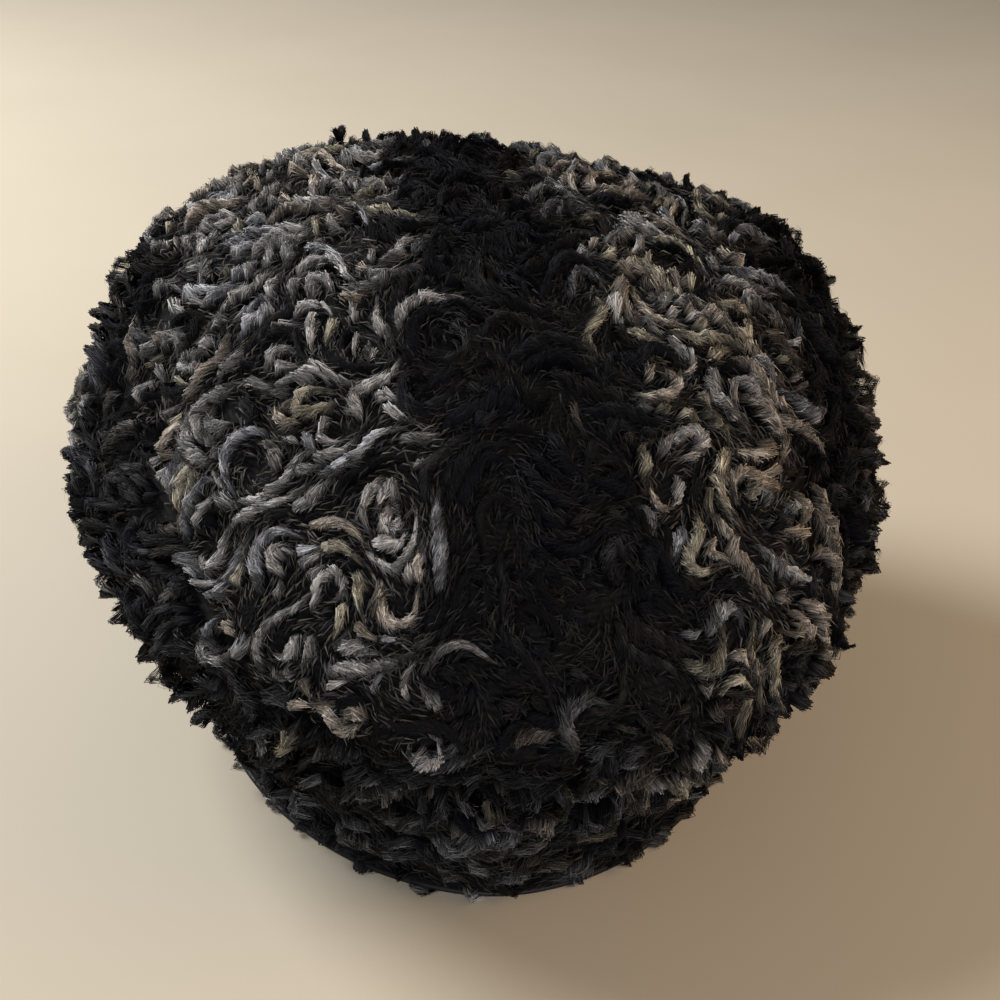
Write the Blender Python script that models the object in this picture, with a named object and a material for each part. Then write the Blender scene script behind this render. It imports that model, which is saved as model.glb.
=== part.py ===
"""Faux fur beret, standing on its rim as it does on a table.

A soft round hat sewn from curly pile cloth. A striped disc closes the top, a side panel
swells out past the head and turns in again, and an upright band with one seam at the
centre back grips the head. The whole form is one smooth surface: rings of named sizes,
joined by a smooth curve from the rim to the centre of the crown. Each panel is a stretch
of that surface, a thick wall whose pile stands up in rolled curls fused to the backing.

Metres, +Z up, +Y the back of the head. The origin is on the table, under the middle of
the hat's box. An angle is measured from the nape toward +X.
"""

from collections import namedtuple

import bmesh
import bpy
import numpy as np
from mathutils.geometry import delaunay_2d_cdt

# The wall and its seams
WALL = 0.0080
SEAM_GAP = 0.0003
SEAM_DEPTH = 0.0026
SEAM_SHOULDER = 0.0070
BACK_SEAM_DEPTH = 0.0022
BACK_SEAM_STEP = 0.006
PILE_INSET = 0.0014
SEGMENTS = 72
TURN = 2.0 * np.pi

# The turned edge of smooth cloth under the rim
EDGE_CLOTH = 0.0016
EDGE_FOOT = 0.0018
EDGE_OVERHANG = 0.0020
EDGE_TOP_RING = 0.6

# The curls of the pile
CURL_SPACING = 0.024
CURL_REACH = 0.0185
CURL_PITCH = 0.0072
CURL_STEP = 0.0080
CURL_RELIEF = 0.0022
CURL_RELIEF_SPREAD = 0.25
CLOSEST_POINTS = 0.0035
CURL_SEED = 11
CURL_TRIES = 2500

# One ring for each turn of the profile, from the rim to the centre of the crown. The
# reaches run from the axis to the forehead and to the nape, and tilt is the drop for each
# metre toward the nape. A roundness of 2 is an ellipse, and more is squarer.
Ring = namedtuple(
    "Ring", "height half_width front_reach back_reach tilt front_roundness back_roundness"
)
RINGS = (
    Ring(EDGE_FOOT + SEAM_GAP, 0.0911, 0.1066, 0.1086, 0.00, 2.0, 1.85),
    Ring(0.0421, 0.0953, 0.1106, 0.1157, 0.03, 2.0, 2.05),
    Ring(0.0590, 0.1188, 0.1200, 0.1205, 0.08, 2.2, 2.05),
    Ring(0.0826, 0.1293, 0.1259, 0.1252, 0.18, 2.4, 1.88),
    Ring(0.1147, 0.1152, 0.1134, 0.1274, 0.36, 2.5, 1.97),
    Ring(0.1364, 0.0877, 0.0828, 0.0880, 0.25, 2.2, 2.00),
    Ring(0.1497, 0.0420, 0.0420, 0.0440, 0.16, 2.0, 2.00),
    Ring(0.1530, 0.0000, 0.0000, 0.0000, 0.10, 2.0, 2.00),
)
RIM_RING, BAND_SEAM_RING, UNDER_RING, BULGE_RING, DISC_SEAM_RING, CROWN_RING = 0, 1, 2, 3, 4, 7
LEAST_REACH = 1e-6

# The soft dents and swells round the hat: waves is how many there are in a turn, and the
# two amounts are their cosine and sine from the nape
Swell = namedtuple("Swell", "ring waves cosine sine")
SWELLS = (
    Swell(UNDER_RING, 3, 0.0009, -0.0006),
    Swell(UNDER_RING, 5, -0.0022, -0.0003),
    Swell(BULGE_RING, 2, 0.0009, -0.0002),
    Swell(BULGE_RING, 3, 0.0012, -0.0005),
    Swell(BULGE_RING, 4, 0.0015, -0.0007),
    Swell(DISC_SEAM_RING, 2, 0.0005, -0.0030),
    Swell(DISC_SEAM_RING, 3, 0.0031, 0.0017),
    Swell(DISC_SEAM_RING, 5, -0.0027, 0.0016),
)
SWELL_REACH = 1.5
LEAST_SWELL_RADIUS = 0.030

# The clearest curls of the disc: degrees from the nape and distance from the crown's centre
Curl = namedtuple("Curl", "degrees distance")
DISC_CURLS = (
    Curl(40, 0.056),
    Curl(62, 0.097),
    Curl(48, 0.101),
    Curl(34, 0.084),
    Curl(19, 0.103),
    Curl(45, 0.130),
    Curl(36, 0.117),
    Curl(30, 0.141),
    Curl(-30, 0.134),
    Curl(-19, 0.147),
    Curl(-41, 0.087),
    Curl(-51, 0.100),
)


def smooth_step(x):
    """0 below 0, 1 above 1, and the cubic 3x^2 - 2x^3 between."""
    x = np.clip(x, 0.0, 1.0)
    return x * x * (3.0 - 2.0 * x)


def table_point(angle, row):
    """A point of one ring: a super-ellipse, pushed by the swells and dropped toward the nape.

    One row past the crown is the last ring but one on the far side, so the crown is smooth.
    """
    past = row > CROWN_RING
    row = np.where(past, 2 * CROWN_RING - row, row)
    angle = np.where(past, angle + np.pi, angle)
    values = np.moveaxis(np.array(RINGS)[row], -1, 0)
    height, half_width, front, back, tilt, front_round, back_round = values
    across, along = np.sin(angle), np.cos(angle)
    wide = np.maximum(half_width, LEAST_REACH)
    reach = np.maximum(np.where(along > 0, back, front), LEAST_REACH)
    power = np.where(along > 0, back_round, front_round)
    radius = (np.abs(across / wide) ** power + np.abs(along / reach) ** power) ** (-1.0 / power)
    push = np.zeros_like(radius)
    for swell in SWELLS:
        near = smooth_step(1.0 - np.abs(row - swell.ring) / SWELL_REACH)
        turn = swell.waves * angle
        push = push + near * (swell.cosine * np.cos(turn) + swell.sine * np.sin(turn))
    radius = radius * (1.0 + push / np.maximum(radius, LEAST_SWELL_RADIUS))
    y = radius * along
    return np.stack([radius * across, y, height - tilt * y], axis=-1)


def smooth_form(angle, ring):
    """A point of the hat: the centripetal Catmull-Rom curve up the rings' points at this angle.

    Its knots lie the square root of the distance apart, so it never loops where rings crowd.
    """
    angle, ring = np.broadcast_arrays(angle, np.clip(ring, RIM_RING, CROWN_RING))
    start = np.clip(ring.astype(int), RIM_RING, CROWN_RING - 1)
    p1, p2, p3 = (table_point(angle, start + step) for step in (0, 1, 2))
    below = table_point(angle, np.maximum(start - 1, RIM_RING))
    p0 = np.where((start == RIM_RING)[..., None], 2.0 * p1 - p2, below)
    pairs = ((p0, p1), (p1, p2), (p2, p3))
    gaps = [np.sqrt(np.linalg.norm(b - a, axis=-1))[..., None] for a, b in pairs]
    k0, k1, k2 = np.zeros_like(gaps[0]), gaps[0], gaps[0] + gaps[1]
    k3 = k2 + gaps[2]
    at = k1 + (ring - start)[..., None] * gaps[1]

    def blend(a, b, low, high):
        share = (at - low) / (high - low)
        return a + (b - a) * share

    first = blend(p0, p1, k0, k1)
    second = blend(p1, p2, k1, k2)
    third = blend(p2, p3, k2, k3)
    return blend(blend(first, second, k0, k2), blend(second, third, k1, k3), k1, k2)


def outward(angle, ring):
    """The surface's unit normal, level at the rim and upright at the crown's centre."""
    step = 1e-3
    round_it = smooth_form(angle + step, ring) - smooth_form(angle - step, ring)
    low = np.clip(ring - step, RIM_RING, CROWN_RING - 2 * step)
    up_it = smooth_form(angle, low + 2 * step) - smooth_form(angle, low)
    normal = np.cross(up_it, round_it)
    normal /= np.maximum(np.linalg.norm(normal, axis=-1, keepdims=True), LEAST_REACH**2)
    at_crown = (ring > CROWN_RING - 2 * step)[..., None]
    normal = np.where(at_crown, np.array([0.0, 0.0, 1.0]), normal)
    level = normal * np.array([1.0, 1.0, 0.0])
    level /= np.maximum(np.linalg.norm(level, axis=-1, keepdims=True), step)
    return np.where((ring < RIM_RING + step)[..., None], level, normal)


def raised(angle, ring, height, facing=None):
    """A point that stands this far off the pile's middle, or within it where height is negative.

    It stands along the normal at the facing ring, so that the two edges of a seam stay parallel.
    """
    facing = ring if facing is None else facing
    angle, ring, height, facing = np.broadcast_arrays(angle, ring, height, facing)
    return smooth_form(angle, ring) + outward(angle, facing) * (height[..., None] - PILE_INSET)


def profile_lengths(angle, first_ring, last_ring):
    """For each angle, the distance up the profile from the first ring to each of a row of rings."""
    rings = np.linspace(first_ring, last_ring, 61)
    points = smooth_form(*np.meshgrid(angle, rings, indexing="ij"))
    steps = np.linalg.norm(np.diff(points, axis=1), axis=-1)
    return rings, np.concatenate([np.zeros((len(angle), 1)), np.cumsum(steps, axis=1)], axis=1)


def ring_at(angle, distance, first_ring, last_ring):
    """The ring that lies this far up each angle's own profile."""
    rings, lengths = profile_lengths(angle, first_ring, last_ring)
    return np.array([np.interp(d, row, rings) for d, row in zip(distance, lengths)])


def panel_length(angle, first_ring, last_ring):
    """The whole length up the profile at each angle."""
    return profile_lengths(angle, first_ring, last_ring)[1][:, -1]


def mean_girth(first_ring, last_ring):
    """The mean length once round a panel."""
    turns = np.linspace(0.0, TURN, 145)
    rings = np.linspace(first_ring, last_ring, 9)
    points = smooth_form(*np.meshgrid(turns, rings, indexing="ij"))
    return np.linalg.norm(np.diff(points, axis=0), axis=-1).sum(axis=0).mean()


def apart(points, least, girth=None, sure=0):
    """Which points to keep so that none lies closer than the least distance to one before it.

    The first few, which are sure, all stay. A girth is where a strip joins its own end.
    """
    kept = np.zeros(len(points), bool)
    for i, point in enumerate(points):
        step = points[kept] - point
        if girth is not None:
            step[:, 0] -= girth * np.round(step[:, 0] / girth)
        kept[i] = i < sure or not (np.hypot(step[:, 0], step[:, 1]) < least).any()
    return kept


def curled_points(centres, random, girth=None):
    """Spots and heights of rolled locks laid flat.

    Each is a spiral with a high ridge, and a low groove half a pitch further out. A spot
    stays only where its own curl's centre is the nearest, so neighbours don't mix.
    """
    count = len(centres)
    most = int(CURL_REACH**2 * np.pi / (CURL_PITCH * CURL_STEP))
    along = CURL_STEP * (np.arange(most) + 0.4)
    unrolled = np.sqrt(2.0 * TURN * along / CURL_PITCH)
    start = random.uniform(0.0, TURN, count)
    hand = np.where(random.random(count) < 0.5, -1.0, 1.0)
    turn = start[:, None] + hand[:, None] * unrolled
    spots, heights = [], []
    for side, out in ((1.0, 0.0), (-1.0, 0.5)):
        radius = CURL_PITCH * (unrolled / TURN + out)
        toward = np.stack([np.cos(turn), np.sin(turn)], axis=-1)
        spots.append(centres[:, None] + radius[:, None] * toward)
        spread = 1.0 + CURL_RELIEF_SPREAD * random.uniform(-1.0, 1.0, turn.shape)
        heights.append(side * CURL_RELIEF * spread)
    owner = np.repeat(np.arange(count), 2 * most)
    spots = np.concatenate(spots, axis=1).reshape(-1, 2)
    heights = np.concatenate(heights, axis=1).reshape(-1)
    away = spots[:, None] - centres[None]
    if girth is not None:
        away[..., 0] -= girth * np.round(away[..., 0] / girth)
    own = np.linalg.norm(away, axis=-1).argmin(axis=1) == owner
    return spots[own], heights[own]


def triangles_between(points, loops):
    """The Delaunay triangles of flat points, with each loop's points joined in turn."""
    edges = np.vstack([np.stack([loop[:-1], loop[1:]], axis=-1) for loop in loops])
    flat = [tuple(p) for p in points * 1000.0]
    faces = delaunay_2d_cdt(flat, edges.tolist(), [], 0, 1e-6)[2]
    return np.array(faces)


def pressed(height, distance, depth):
    """The pile's height pressed down to a seam's depth near it."""
    rise = smooth_step(distance / SEAM_SHOULDER)
    return height * rise - depth * (1.0 - rise)


def disc_pile(random):
    """The disc's outer face, laid flat about the crown's centre: points, triangles, edge loop."""

    def edge_at(angle):
        return panel_length(angle, DISC_SEAM_RING, CROWN_RING) - SEAM_GAP / 2

    degrees, distance = np.array(DISC_CURLS).T
    turns = np.radians(degrees)
    charted = distance[:, None] * np.stack([np.sin(turns), np.cos(turns)], axis=-1)
    widest = edge_at(np.linspace(0.0, TURN, SEGMENTS)).max()
    tries = random.uniform(-widest, widest, (CURL_TRIES, 2))
    near = np.hypot(*tries.T) < edge_at(np.arctan2(*tries.T)) + CURL_SPACING / 2
    centres = np.vstack([charted, tries[near]])
    centres = centres[apart(centres, CURL_SPACING, sure=len(charted))]
    spots, heights = curled_points(centres, random)
    margin = edge_at(np.arctan2(*spots.T)) - np.hypot(*spots.T)
    inside = margin > CLOSEST_POINTS
    spots, heights, margin = spots[inside], heights[inside], margin[inside]
    kept = apart(spots, CLOSEST_POINTS)
    spots, heights = spots[kept], pressed(heights, margin, SEAM_DEPTH)[kept]
    turns = np.linspace(0.0, TURN, SEGMENTS, endpoint=False)
    edge = edge_at(turns)[:, None] * np.stack([np.sin(turns), np.cos(turns)], axis=-1)
    spots = np.vstack([edge, spots])
    heights = np.concatenate([np.full(SEGMENTS, -SEAM_DEPTH), heights])
    loop = np.arange(SEGMENTS)
    faces = triangles_between(spots, [np.append(loop, 0)])
    middle = spots[faces].mean(axis=1)
    faces = faces[np.hypot(*middle.T) < edge_at(np.arctan2(*middle.T))]
    angle = np.arctan2(*spots.T)
    whole = panel_length(angle, DISC_SEAM_RING, CROWN_RING)
    ring = ring_at(angle, whole - np.hypot(*spots.T), DISC_SEAM_RING, CROWN_RING)
    facing = np.where(np.arange(len(ring)) < SEGMENTS, DISC_SEAM_RING, ring)
    return raised(angle, ring, heights, facing), faces, [loop]


def strip_pile(first_ring, last_ring, depths, back_seam, random):
    """A panel's outer face, laid flat as a strip that joins its own end.

    It gives the points, the triangles, and the low and the high edge loop.
    """
    girth = mean_girth(first_ring, last_ring)
    low = 0.0 if first_ring == RIM_RING else SEAM_GAP / 2

    def top_at(across):
        return panel_length(across * TURN / girth, first_ring, last_ring) - SEAM_GAP / 2

    highest = top_at(np.linspace(0.0, girth, SEGMENTS)).max()
    tries = random.uniform((0.0, 0.0), (girth, highest), (CURL_TRIES, 2))
    tries = tries[tries[:, 1] < top_at(tries[:, 0]) + CURL_SPACING / 4]
    centres = tries[apart(tries, CURL_SPACING, girth)]
    spots, heights = curled_points(centres, random, girth)
    spots[:, 0] %= girth
    if back_seam:
        up = np.arange(low + BACK_SEAM_STEP, highest, BACK_SEAM_STEP)
        spots = np.vstack([np.stack([np.zeros_like(up), up], axis=-1), spots])
        heights = np.concatenate([np.full(len(up), -BACK_SEAM_DEPTH), heights])
    from_top = top_at(spots[:, 0]) - spots[:, 1]
    inside = (spots[:, 1] > low + CLOSEST_POINTS) & (from_top > CLOSEST_POINTS)
    spots, heights, from_top = spots[inside], heights[inside], from_top[inside]
    kept = apart(spots, CLOSEST_POINTS, girth)
    spots, heights, from_top = spots[kept], heights[kept], from_top[kept]
    heights = pressed(heights, spots[:, 1] - low, depths[0])
    heights = pressed(heights, from_top, depths[1])
    if back_seam:
        heights = pressed(heights, np.minimum(spots[:, 0], girth - spots[:, 0]), BACK_SEAM_DEPTH)
    across = np.arange(SEGMENTS) * girth / SEGMENTS
    loops = [np.stack([across, line], axis=-1) for line in (np.full(SEGMENTS, low), top_at(across))]
    spots = np.vstack(loops + [spots])
    edge_heights = [np.full(SEGMENTS, -depth) for depth in depths]
    heights = np.concatenate(edge_heights + [heights])
    faces = joined_strip_faces(spots, girth, top_at)
    angle = spots[:, 0] * TURN / girth
    ring = ring_at(angle, spots[:, 1], first_ring, last_ring)
    facing = ring.copy()
    facing[:SEGMENTS] = first_ring
    facing[SEGMENTS : 2 * SEGMENTS] = last_ring
    points = raised(angle, ring, heights, facing)
    return points, faces, [np.arange(SEGMENTS), np.arange(SEGMENTS, 2 * SEGMENTS)]


def joined_strip_faces(spots, girth, top_at):
    """Triangles of a strip whose ends meet.

    Each end is laid out again past the other, and one turn of the triangles is kept.
    """
    spare = SEGMENTS // 6
    ends = np.arange(-spare, SEGMENTS + spare + 1)
    loops = [ends % SEGMENTS, ends % SEGMENTS + SEGMENTS]
    inner = np.arange(2 * SEGMENTS, len(spots))
    margin = spare * girth / SEGMENTS
    before = inner[spots[inner, 0] > girth - margin]
    after = inner[spots[inner, 0] < margin]
    source = np.concatenate(loops + [inner, before, after])
    turns = [np.floor(ends / SEGMENTS)] * 2
    turns += [np.zeros(len(inner)), np.full(len(before), -1.0), np.ones(len(after))]
    laid = spots[source].copy()
    laid[:, 0] += np.concatenate(turns) * girth
    count = len(ends)
    faces = triangles_between(laid, [np.arange(count), np.arange(count, 2 * count)])
    middle = laid[faces].mean(axis=1)
    one_turn = (middle[:, 0] >= 0.0) & (middle[:, 0] < girth)
    chord = np.interp(middle[:, 0], laid[count : 2 * count, 0], laid[count : 2 * count, 1])
    return source[faces[one_turn & (middle[:, 1] < chord)]]


def ring_strips(row_count):
    """Triangles between neighbouring rows of points that each run once round."""
    here = np.arange(SEGMENTS)
    there = (here + 1) % SEGMENTS
    low = np.arange(row_count - 1)[:, None] * SEGMENTS
    high = low + SEGMENTS
    first = np.stack([here + low, here + high, there + low], axis=-1)
    second = np.stack([there + low, here + high, there + high], axis=-1)
    return np.concatenate([first, second]).reshape(-1, 3)


def inner_face(shares, first_ring, last_ring, trims, closes):
    """The wall's smooth inner face in rows, each a share of the way up the profile.

    The trims are what the seams take off its first and last length. One point closes the crown.
    """
    turns = np.linspace(0.0, TURN, SEGMENTS, endpoint=False)
    whole = panel_length(turns, first_ring, last_ring)
    rows = []
    for share in shares:
        distance = trims[0] + share * (whole - trims[0] - trims[1])
        ring = ring_at(turns, distance, first_ring, last_ring)
        facing = {0.0: first_ring, 1.0: last_ring}.get(share, ring)
        rows.append(raised(turns, ring, PILE_INSET - WALL, facing))
    faces = ring_strips(len(rows))
    if closes:
        here = np.arange(SEGMENTS) + (len(rows) - 1) * SEGMENTS
        crown = raised(np.zeros(1), np.full(1, float(CROWN_RING)), PILE_INSET - WALL)
        top = np.full(SEGMENTS, len(rows) * SEGMENTS)
        faces = np.vstack([faces, np.stack([here, top, np.roll(here, -1)], axis=-1)])
        rows.append(crown)
    return np.concatenate(rows), faces


def closed_wall(outer, inner, inner_loops):
    """One closed body: the outer face, the inner face, and the edges that join their loops."""
    outer_points, outer_faces, outer_loops = outer
    inner_points, inner_faces = inner
    faces = [outer_faces, inner_faces + len(outer_points)]
    for out, within in zip(outer_loops, inner_loops):
        here = within + len(outer_points)
        faces.append(np.stack([out, here, np.roll(out, -1)], axis=-1))
        faces.append(np.stack([np.roll(out, -1), here, np.roll(here, -1)], axis=-1))
    return np.vstack([outer_points, inner_points]), np.concatenate(faces)


def crown_top():
    """The striped disc, one piece of pile that closes the top."""
    outer = disc_pile(np.random.default_rng(CURL_SEED))
    trims = (SEAM_GAP / 2, 0.0)
    inner = inner_face((0.0, 0.25, 0.5, 0.75), DISC_SEAM_RING, CROWN_RING, trims, True)
    return closed_wall(outer, inner, [np.arange(SEGMENTS)])


def wall_strip(first_ring, last_ring, shares, depths, back_seam, seed):
    """A ring-shaped panel of pile with its inner face in a few rows."""
    outer = strip_pile(first_ring, last_ring, depths, back_seam, np.random.default_rng(seed))
    trims = (0.0 if first_ring == RIM_RING else SEAM_GAP / 2, SEAM_GAP / 2)
    inner = inner_face(shares, first_ring, last_ring, trims, False)
    low = np.arange(SEGMENTS)
    return closed_wall(outer, inner, [low, low + (len(shares) - 1) * SEGMENTS])


def crown_side():
    """The side panel, from the band out over the widest part and in to the disc's seam."""
    shares = (0.0, 0.2, 0.4, 0.6, 0.8, 1.0)
    depths = (SEAM_DEPTH, SEAM_DEPTH)
    return wall_strip(BAND_SEAM_RING, DISC_SEAM_RING, shares, depths, False, CURL_SEED + 1)


def headband():
    """The upright band that grips the head, with its seam at the centre back."""
    shares = (0.0, EDGE_TOP_RING, 1.0)
    return wall_strip(RIM_RING, BAND_SEAM_RING, shares, (0.0, SEAM_DEPTH), True, CURL_SEED + 2)


def lining_edge():
    """The turned edge of smooth cloth: a foot under the pile and a leg up inside the band."""
    turns = np.linspace(0.0, TURN, SEGMENTS, endpoint=False)
    whole = panel_length(turns, RIM_RING, BAND_SEAM_RING) - SEAM_GAP / 2
    top_ring = ring_at(turns, EDGE_TOP_RING * whole, RIM_RING, BAND_SEAM_RING)
    rim_ring = np.full(SEGMENTS, float(RIM_RING))
    leg_out = WALL + SEAM_GAP
    leg_in = leg_out + EDGE_CLOTH
    section = (
        (EDGE_OVERHANG, rim_ring, 0.0),
        (EDGE_OVERHANG, rim_ring, EDGE_FOOT),
        (leg_out, rim_ring, EDGE_FOOT),
        (leg_out, top_ring, None),
        (leg_in, top_ring, None),
        (leg_in, rim_ring, 0.0),
    )
    rows = []
    for depth, ring, height in section:
        row = raised(turns, ring, PILE_INSET - depth)
        if height is not None:
            row[:, 2] = height
        rows.append(row)
    rows.append(rows[0])
    faces = ring_strips(len(rows)) % ((len(rows) - 1) * SEGMENTS)
    return np.concatenate(rows[:-1]), faces


def cloth_material(name, colour, roughness, sheen):
    """A plain finish of one linear colour."""
    material = bpy.data.materials.new(name)
    material.use_nodes = True
    shader = material.node_tree.nodes["Principled BSDF"]
    shader.inputs["Base Color"].default_value = (*colour, 1.0)
    shader.inputs["Roughness"].default_value = roughness
    shader.inputs["Metallic"].default_value = 0.0
    shader.inputs["Sheen Weight"].default_value = sheen
    return material


def add_object(name, points, faces, material):
    """A named mesh object with its faces turned outward and shaded smooth."""
    mesh = bpy.data.meshes.new(name)
    mesh.from_pydata(points.tolist(), [], faces.tolist())
    shape = bmesh.new()
    shape.from_mesh(mesh)
    bmesh.ops.recalc_face_normals(shape, faces=shape.faces)
    if shape.calc_volume(signed=True) < 0:
        bmesh.ops.reverse_faces(shape, faces=shape.faces)
    shape.to_mesh(mesh)
    shape.free()
    mesh.shade_smooth()
    mesh.materials.append(material)
    made = bpy.data.objects.new(name, mesh)
    bpy.context.scene.collection.objects.link(made)


Piece = namedtuple("Piece", "name make colour roughness sheen")
PIECES = (
    Piece("crown_top", crown_top, (0.105, 0.095, 0.085), 0.85, 0.4),
    Piece("crown_side", crown_side, (0.030, 0.027, 0.027), 0.85, 0.4),
    Piece("headband", headband, (0.022, 0.020, 0.021), 0.85, 0.4),
    Piece("lining_edge", lining_edge, (0.010, 0.010, 0.011), 0.45, 0.1),
)

for old in list(bpy.data.objects):
    bpy.data.objects.remove(old, do_unlink=True)

shapes = [piece.make() for piece in PIECES]
everything = np.vstack([points for points, _ in shapes])
middle = (everything.min(axis=0) + everything.max(axis=0)) / 2.0
centring = np.array([-middle[0], -middle[1], 0.0])
for piece, (points, faces) in zip(PIECES, shapes):
    finish = cloth_material(piece.name, piece.colour, piece.roughness, piece.sheen)
    add_object(piece.name, points + centring, faces, finish)
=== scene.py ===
from collections import namedtuple

import bpy
import numpy as np
from mathutils import Matrix, Vector


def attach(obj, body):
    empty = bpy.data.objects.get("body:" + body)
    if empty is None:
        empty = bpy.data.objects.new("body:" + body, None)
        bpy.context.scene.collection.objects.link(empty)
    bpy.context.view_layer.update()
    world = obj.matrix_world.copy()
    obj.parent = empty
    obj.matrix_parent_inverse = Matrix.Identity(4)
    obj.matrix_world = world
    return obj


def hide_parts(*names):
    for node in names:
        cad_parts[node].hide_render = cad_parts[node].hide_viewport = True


# A faux fur beret, standing on its rim. Metres, +Z up, +Y the back of the head. An angle is
# measured from the nape toward +X.
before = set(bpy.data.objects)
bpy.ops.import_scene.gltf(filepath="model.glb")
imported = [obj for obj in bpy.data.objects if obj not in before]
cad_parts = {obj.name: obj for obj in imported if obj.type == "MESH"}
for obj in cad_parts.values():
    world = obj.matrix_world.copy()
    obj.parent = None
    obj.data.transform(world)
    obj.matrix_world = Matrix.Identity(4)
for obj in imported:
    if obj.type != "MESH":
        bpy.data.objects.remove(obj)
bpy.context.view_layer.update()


# The camera
# It looks down on the back of the hat from a little under half a metre, as one looks at a
# hat on a stand: the middle of the hat lies a little left of and below the picture's middle.
CAMERA_TARGET = Vector((-0.0003, -0.0003, 0.065))
CAMERA_DISTANCE = 0.452
CAMERA_AZIMUTH = np.radians(175.5)
CAMERA_ELEVATION = np.radians(30.0)
CAMERA_ROLL = np.radians(1.7)
PICTURE_WIDTH = 1000
TARGET_PIXEL = (482, 510)

camera_data = bpy.data.cameras.new("camera")
camera_data.lens = 50.0
camera_data.sensor_width = 36.0
camera_data.shift_x = (PICTURE_WIDTH / 2 - TARGET_PIXEL[0]) / PICTURE_WIDTH
camera_data.shift_y = (TARGET_PIXEL[1] - PICTURE_WIDTH / 2) / PICTURE_WIDTH
camera = bpy.data.objects.new("camera", camera_data)
bpy.context.scene.collection.objects.link(camera)
bpy.context.scene.camera = camera
toward_camera = Vector((
    np.sin(CAMERA_AZIMUTH) * np.cos(CAMERA_ELEVATION),
    -np.cos(CAMERA_AZIMUTH) * np.cos(CAMERA_ELEVATION),
    np.sin(CAMERA_ELEVATION),
))
turned = (-toward_camera).to_track_quat("-Z", "Y").to_matrix().to_4x4()
rolled = Matrix.Rotation(CAMERA_ROLL, 4, "Z")
place_camera = Matrix.Translation(CAMERA_TARGET + toward_camera * CAMERA_DISTANCE)
camera.matrix_world = place_camera @ turned @ rolled


# The three panels of pile cloth
# A striped disc, a swelling side panel and an upright band, cut from knitted cloth that
# carries the pile and sewn edge to edge. Here are the form that they take together, each
# panel laid flat, and the cloth itself, which shows only from inside the hat.
TURN = 2.0 * np.pi
WALL = 0.0080
SEAM_GAP = 0.0003
CLOTH_OUTER_LIFT = -0.0050
EDGE_FOOT = 0.0018
LEAST_REACH = 1e-6

Ring = namedtuple(
    "Ring", "height half_width front_reach back_reach tilt front_roundness back_roundness"
)
RINGS = (
    Ring(EDGE_FOOT + SEAM_GAP, 0.0911, 0.1066, 0.1086, 0.00, 2.0, 1.85),
    Ring(0.0421, 0.0953, 0.1106, 0.1157, 0.03, 2.0, 2.05),
    Ring(0.0590, 0.1188, 0.1200, 0.1205, 0.08, 2.2, 2.05),
    Ring(0.0826, 0.1293, 0.1259, 0.1252, 0.18, 2.4, 1.88),
    Ring(0.1147, 0.1152, 0.1134, 0.1274, 0.36, 2.5, 1.97),
    Ring(0.1364, 0.0877, 0.0828, 0.0880, 0.25, 2.2, 2.00),
    Ring(0.1497, 0.0420, 0.0420, 0.0440, 0.16, 2.0, 2.00),
    Ring(0.1530, 0.0000, 0.0000, 0.0000, 0.10, 2.0, 2.00),
)
RIM_RING, BAND_SEAM_RING, UNDER_RING, BULGE_RING, DISC_SEAM_RING, CROWN_RING = 0, 1, 2, 3, 4, 7
FORM_SHIFT = np.array([-0.0002775, -0.0003022, 0.0])

Swell = namedtuple("Swell", "ring waves cosine sine")
SWELLS = (
    Swell(UNDER_RING, 3, 0.0009, -0.0006),
    Swell(UNDER_RING, 5, -0.0022, -0.0003),
    Swell(BULGE_RING, 2, 0.0009, -0.0002),
    Swell(BULGE_RING, 3, 0.0012, -0.0005),
    Swell(BULGE_RING, 4, 0.0015, -0.0007),
    Swell(DISC_SEAM_RING, 2, 0.0005, -0.0030),
    Swell(DISC_SEAM_RING, 3, 0.0031, 0.0017),
    Swell(DISC_SEAM_RING, 5, -0.0027, 0.0016),
)
SWELL_REACH = 1.5
LEAST_SWELL_RADIUS = 0.030


def smooth_step(x):
    """0 below 0, 1 above 1, and the cubic 3x^2 - 2x^3 between."""
    x = np.clip(x, 0.0, 1.0)
    return x * x * (3.0 - 2.0 * x)


def ring_point(angle, row):
    """A super-ellipse at this angle, pushed out by the swells and dropped toward the nape."""
    past = row > CROWN_RING
    row = np.where(past, 2 * CROWN_RING - row, row)
    angle = np.where(past, angle + np.pi, angle)
    values = np.moveaxis(np.array(RINGS)[row], -1, 0)
    height, half_width, front, back, tilt, front_round, back_round = values
    across, along = np.sin(angle), np.cos(angle)
    wide = np.maximum(half_width, LEAST_REACH)
    reach = np.maximum(np.where(along > 0, back, front), LEAST_REACH)
    power = np.where(along > 0, back_round, front_round)
    radius = (np.abs(across / wide) ** power + np.abs(along / reach) ** power) ** (-1.0 / power)
    push = np.zeros_like(radius)
    for swell in SWELLS:
        near = smooth_step(1.0 - np.abs(row - swell.ring) / SWELL_REACH)
        turn = swell.waves * angle
        push = push + near * (swell.cosine * np.cos(turn) + swell.sine * np.sin(turn))
    radius = radius * (1.0 + push / np.maximum(radius, LEAST_SWELL_RADIUS))
    y = radius * along
    return np.stack([radius * across, y, height - tilt * y], axis=-1) + FORM_SHIFT


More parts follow.
